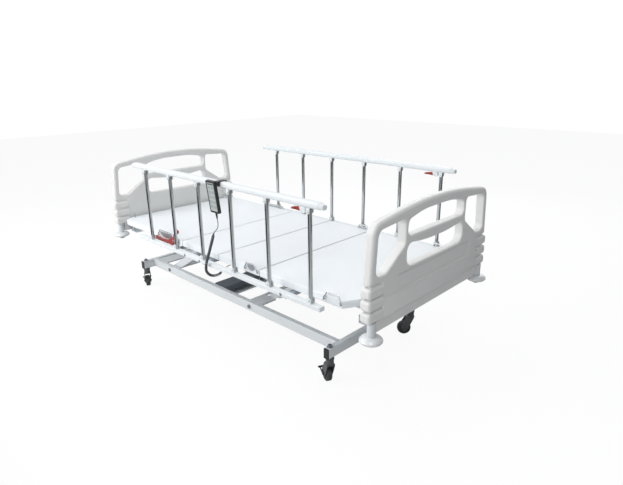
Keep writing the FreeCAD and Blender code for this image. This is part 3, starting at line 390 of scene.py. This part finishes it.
def smooth_line(points, steps):
    """Points read from the smooth spline that has the route's points as its controls."""
    data = bpy.data.curves.new("route", "CURVE")
    data.dimensions = "3D"
    data.resolution_u = steps
    spline = data.splines.new("NURBS")
    spline.points.add(len(points) - 1)
    for control, place in zip(spline.points, points):
        control.co = (*place, 1)
    spline.order_u = 3
    spline.use_endpoint_u = True
    carrier = bpy.data.objects.new("route", data)
    mesh = bpy.data.meshes.new_from_object(carrier)
    line = [vertex.co.copy() for vertex in mesh.vertices]
    bpy.data.objects.remove(carrier)
    bpy.data.curves.remove(data)
    bpy.data.meshes.remove(mesh)
    return line


def carried_frames(line):
    """A normal and a side vector at each point of a line, carried along without twist."""
    frames = []
    normal = None
    for i in range(len(line)):
        along = (line[min(i + 1, len(line) - 1)] - line[max(i - 1, 0)]).normalized()
        if normal is None:
            normal = along.orthogonal().normalized()
        normal = (normal - along * normal.dot(along)).normalized()
        frames.append((normal.copy(), along.cross(normal)))
    return frames


def tube_mesh(name, line, radii, sides):
    """Round tube along a line, with a radius for each of its points, closed at both ends."""
    bm = bmesh.new()
    rings = [circle(bm, place, normal, side, radius, sides)
             for place, (normal, side), radius in zip(line, carried_frames(line), radii)]
    closed_tube(bm, rings)
    return mesh_from(name, bm, 60)


def cord_mesh(name, line, sides):
    return tube_mesh(name, line, [cord_diameter / 2] * len(line), sides)


def even_line(line, step):
    """The same line with points a fixed distance apart."""
    result = [line[0].copy()]
    left = step
    for first, second in zip(line, line[1:]):
        length = (second - first).length
        at = left
        while at <= length:
            result.append(first.lerp(second, at / length))
            at += step
        left = at - length
    result.append(line[-1].copy())
    return result


def curly_line():
    """Helix round the coil's route, easing into the straight tail at its far end."""
    line = even_line(smooth_line(coil_route + tail_route[1:], 24), coil_step)
    coil_end = Vector(coil_route[-1])
    wound = coil_step * min(range(len(line)), key=lambda i: (line[i] - coil_end).length)
    centre_radius = (coil_outer - cord_diameter) / 2
    result = []
    for i, (place, (normal, side)) in enumerate(zip(line, carried_frames(line))):
        reach = i * coil_step
        ease = min(reach / coil_start_ease, (wound - reach) / coil_end_ease, 1.0)
        if ease > 0:
            turn = 2 * math.pi * reach / coil_pitch
            offset = normal * math.cos(turn) + side * math.sin(turn)
            result.append(place + offset * centre_radius * ease)
        elif i % tail_skip == 0 or i == len(line) - 1:
            result.append(place)
    return result


def line_length(line):
    return sum((b - a).length for a, b in zip(line, line[1:]))


def spread(values, count):
    """Values at even steps, read between the given ones."""
    result = []
    for i in range(count):
        at = i / (count - 1) * (len(values) - 1)
        low = min(int(at), len(values) - 2)
        result.append(values[low] + (values[low + 1] - values[low]) * (at - low))
    return result


def make_cords():
    """Lead from the hand control, and the curly stretch with the tail to the control box."""
    lead_line = smooth_line(lead_route, 16)
    lead = new_piece("handset_lead", cord_mesh("handset_lead", lead_line, 12), "cord_rubber")
    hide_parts("handset_cord")
    boot_line = even_line(lead_line, boot_step)[-boot_points:]
    boot = new_piece("cord_boot",
                     tube_mesh("cord_boot", boot_line, spread(boot_radii, boot_points), 16),
                     "cord_rubber", "right_post_4")
    line_length(lead_line)
    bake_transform(lead)
    curl_line = curly_line()
    curl = new_piece("curly_lead", cord_mesh("curly_lead", curl_line, 8), "cord_rubber")
    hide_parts("curly_cord")
    line_length(curl_line)
    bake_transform(curl)


make_cords()


# Hand control: a pale keypad in the recess of the case, with heights measured down its face
handset_top = 0.925
handset_face_y = -0.545
handset_lean = math.radians(6.6)
keypad_x = (0.1508, 0.2022)
keypad_down = (0.0098, 0.1472)
keypad_depths = (0.0012, 0.0008)
keypad_corner = 0.0035
lamp_x = (0.1545, 0.1985)
lamp_down = (0.0128, 0.0196)
lamp_depths = (0.0009, 0.0003)
lamp_corner = 0.002
key_rows = 5
key_columns = 2
first_key_x = 0.1545
first_key_down = 0.024
key_pitch_x = 0.0245
key_pitch_down = 0.0235
key_width = 0.0195
key_height = 0.0165
key_depths = (0.0009, 0.0001)
key_corner = 0.0028
rim_softness = 0.0003


def handset_place(x, inward, down):
    """World place of a point on the hand control's leaning face."""
    return Vector((x,
                   handset_face_y + inward * math.cos(handset_lean)
                   + down * math.sin(handset_lean),
                   handset_top + inward * math.sin(handset_lean)
                   - down * math.cos(handset_lean)))


def add_pad(bm, x0, x1, down0, down1, depths, corner):
    """Raised pad with round corners and a softened rim, between its back and front depths."""
    back, front = depths
    outline = round_rectangle(x0, x1, down0, down1, corner, 4)
    rings = []
    for inset, depth in ((0, back), (0, front + rim_softness), (rim_softness, front)):
        size = corner - inset
        rings.append([bm.verts.new(handset_place(cx + size * away_x, depth,
                                                 cz + size * away_z))
                      for cx, cz, away_x, away_z in outline])
    join_rings(bm, rings)
    bm.faces.new(rings[-1])


def make_keypad():
    """Pale membrane plate, ten plain keys in two columns, and a dark lamp window."""
    pale = moulded("keypad_membrane", tone("b4bbba"), 0.4, 0.2)
    grey = moulded("keypad_keys", tone("9ca4a5"), 0.35, 0.2)
    dark = moulded("keypad_marks", tone("3c4245"), 0.35, 0.2)
    plate = bmesh.new()
    add_pad(plate, *keypad_x, *keypad_down, keypad_depths, keypad_corner)
    keys = bmesh.new()
    for row in range(key_rows):
        for column in range(key_columns):
            x0 = first_key_x + column * key_pitch_x
            down = first_key_down + row * key_pitch_down
            add_pad(keys, x0, x0 + key_width, down, down + key_height, key_depths, key_corner)
    lamp = bmesh.new()
    add_pad(lamp, *lamp_x, *lamp_down, lamp_depths, lamp_corner)
    for name, bm, finish in (("keypad_plate", plate, pale), ("keypad_keys", keys, grey),
                             ("keypad_lamp_window", lamp, dark)):
        new_piece(name, mesh_from(name, bm, 40), "black_plastic", "handset", finish)


make_keypad()


# End boards: the raised lower band and the thin bead round the panel above it
board_face = 1.052
band_sink = 0.0004
band_half = 0.384
band_profile = [(0.4695, 0.0), (0.4705, 0.0036), (0.474, 0.0052), (0.541, 0.0058),
                (0.5448, 0.0046), (0.5462, 0.0)]
band_ends = [(-band_half, 0.0), (-band_half + 0.0006, 0.7), (-band_half + 0.003, 1.0),
             (band_half - 0.003, 1.0), (band_half - 0.0006, 0.7), (band_half, 0.0)]
bead_face = 1.0519
bead_half = 0.303
bead_low = 0.556
bead_high = 0.622
bead_corner = 0.012
bead_profile = ((-0.0018, 0), (-0.0011, 0.0011), (0, 0.0015), (0.0011, 0.0011), (0.0018, 0))


def end_board_band(name, sign):
    """Band across the board's outer face, with soft edges and a ledge along its top."""
    bm = bmesh.new()
    rows = [[bm.verts.new((sign * (board_face - band_sink + reach * share), y, z))
             for z, reach in band_profile] for y, share in band_ends]
    for first, second in zip(rows, rows[1:]):
        for k in range(len(band_profile) - 1):
            add_face(bm, (first[k], second[k], second[k + 1], first[k + 1]), sign)
    new_piece(name, mesh_from(name, bm, 50), "board_plastic", "frame")


def panel_bead(name, sign):
    """Thin raised bead along a rectangle with round corners."""
    bm = bmesh.new()
    rings = []
    for cy, cz, away_y, away_z in round_rectangle(-bead_half, bead_half, bead_low, bead_high,
                                                  bead_corner, 6):
        y = cy + bead_corner * away_y
        z = cz + bead_corner * away_z
        rings.append([bm.verts.new((sign * (bead_face + reach), y + away_y * offset,
                                    z + away_z * offset)) for offset, reach in bead_profile])
    for first, second in zip(rings, rings[1:] + rings[:1]):
        for k in range(len(bead_profile) - 1):
            add_face(bm, (first[k], first[k + 1], second[k + 1], second[k]), sign)
    new_piece(name, mesh_from(name, bm, 60), "board_plastic", "frame")


for board, direction in (("foot", 1), ("head", -1)):
    end_board_band(board + "_board_band", direction)
    panel_bead(board + "_board_bead", direction)


# Fasteners: domed bolt heads with washers on the rails' bars, and weld beads of the base
bar_bolt_x = (-0.153, -0.017, 0.6)
bar_face_y = 0.51
bar_bolt_z = 0.476
bolt_profile = [(-0.0005, 0.007875), (0.0003, 0.007875), (0.0006, 0.00735), (0.0006, 0.0051),
                (0.0016, 0.00495), (0.0023, 0.00405), (0.0027, 0.00225), (0.0028, 0.0006)]
base_cross_x = (-0.955, 0.732)
weld_reach = 0.0152
weld_y = 0.28
weld_low = 0.149
weld_pitch = 0.005
weld_count = 9
weld_profile = [(-0.002, 0.0015), (0.0004, 0.0034), (0.0018, 0.0026), (0.0024, 0.0008)]


def turned_piece(name, places, profile, slot_name, body, sides):
    """Turned pieces, one at each (place, direction), with a profile of (reach, radius)."""
    bm = bmesh.new()
    for place, direction in places:
        along = Vector(direction).normalized()
        normal = along.orthogonal().normalized()
        side = along.cross(normal)
        closed_tube(bm, [circle(bm, Vector(place) + along * reach, normal, side, radius, sides)
                         for reach, radius in profile])
    new_piece(name, mesh_from(name, bm, 35), slot_name, body)


def make_fittings():
    """Bolt heads on both bars, and a row of weld beads at each inner corner of the base."""
    bolts = [((x, side * bar_face_y, bar_bolt_z), (0, side, 0))
             for side in (-1, 1) for x in bar_bolt_x]
    turned_piece("bar_bolt_heads", bolts, bolt_profile, "zinc", "frame", 16)
    welds = []
    for x in base_cross_x:
        inward = 1 if x < 0 else -1
        for side in (-1, 1):
            for step in range(weld_count):
                place = (x + inward * weld_reach, side * weld_y, weld_low + step * weld_pitch)
                welds.append((place, (inward, side, 0)))
    turned_piece("base_weld_beads", welds, weld_profile, "base_paint", "base", 8)


make_fittings()


# Studio: white floor and surroundings, large soft lamps, and two low dark cards for the chrome
around_tone = (0.93, 0.96, 1)
around_strength = 0.36
floor_half = 12
floor_drop = 0.0005
floor_tone = (0.75, 0.75, 0.75)
floor_glow = 1.04
floor_glow_share = 0.88
card_tone = (0.04, 0.04, 0.045)
cards = {"side_card": ((-1.6, -1.95), (1.2, -1.95), 0.5),
         "end_card": ((2.35, -0.9), (2.35, 3.0), 0.55)}
lamps = {"key_lamp": ((-1.4, -3.4, 1.9), (0, 0, 0.4), (3.4, 2.2), 112),
         "top_lamp": ((-0.9, 0.2, 4.0), (-0.5, 0, 0.4), (4, 4), 72),
         "far_lamp": ((-0.6, 3.6, 2.2), (0, 0, 0.5), (3, 2), 25),
         "end_lamp": ((2.2, -1.9, 2.4), (1.05, -0.4, 0.9), (0.8, 0.8), 14)}


def make_surroundings():
    """White where it is seen, mirrored or looked through to, and dimmer as a light."""
    world = bpy.data.worlds.new("studio")
    world.use_nodes = True
    scene.world = world
    network = Network(world.node_tree)
    around = network.node("ShaderNodeBackground", {},
                          {"Color": around_tone, "Strength": around_strength})
    seen = network.node("ShaderNodeBackground", {}, {"Color": (1, 1, 1), "Strength": 1})
    shown = network.node("ShaderNodeMath", {"operation": "ADD", "use_clamp": True},
                         {0: network.ray("Camera") + network.ray("Glossy"),
                          1: network.ray("Transmission")})
    network.feed(world.node_tree.nodes["World Output"].inputs["Surface"],
                 network.choose(shown, around, seen))


def stage_piece(name, bm, material, in_view=True):
    """Piece of the studio, which is no part of the object. One not in view is only mirrored."""
    piece = bpy.data.objects.new(name, mesh_from(name, bm))
    scene.collection.objects.link(piece)
    piece.data.materials.append(material)
    piece.visible_camera = in_view


def make_floor():
    """Floor that glows a little for the camera and keeps the object's shadow."""
    finish = Finish("floor_white")
    finish.shade(Base_Color=floor_tone, Roughness=0.8)
    glow = finish.node("ShaderNodeEmission", {}, {"Strength": floor_glow})
    surface = finish.choose(finish.ray("Camera") * floor_glow_share,
                            Wire(finish, finish.shader.outputs[0]), glow)
    finish.feed(finish.tree.nodes["Material Output"].inputs["Surface"], surface)
    bm = bmesh.new()
    bmesh.ops.create_grid(bm, x_segments=8, y_segments=8, size=floor_half)
    bmesh.ops.translate(bm, verts=bm.verts, vec=(0, 0, -floor_drop))
    stage_piece("floor", bm, finish.material)


def make_cards():
    """Low upright cards that the camera doesn't see, for the dark strips in the chrome."""
    finish = Finish("dark_card")
    finish.shade(Base_Color=card_tone, Roughness=0.9)
    for name, ((x0, y0), (x1, y1), top) in cards.items():
        bm = bmesh.new()
        bm.faces.new([bm.verts.new(place) for place in ((x0, y0, 0), (x1, y1, 0), (x1, y1, top),
                                                        (x0, y0, top))])
        stage_piece(name, bm, finish.material, in_view=False)


def make_lamps():
    """Rectangular lamps: place, aim, size and power."""
    for name, (place, aim, size, power) in lamps.items():
        data = bpy.data.lights.new(name, "AREA")
        data.shape = "RECTANGLE"
        data.size, data.size_y = size
        data.energy = power
        lamp = bpy.data.objects.new(name, data)
        scene.collection.objects.link(lamp)
        lamp.location = place
        lamp.rotation_euler = (Vector(aim) - Vector(place)).to_track_quat("-Z", "Y").to_euler()


make_surroundings()
make_floor()
make_cards()
make_lamps()
scene.view_settings.view_transform = "Standard"
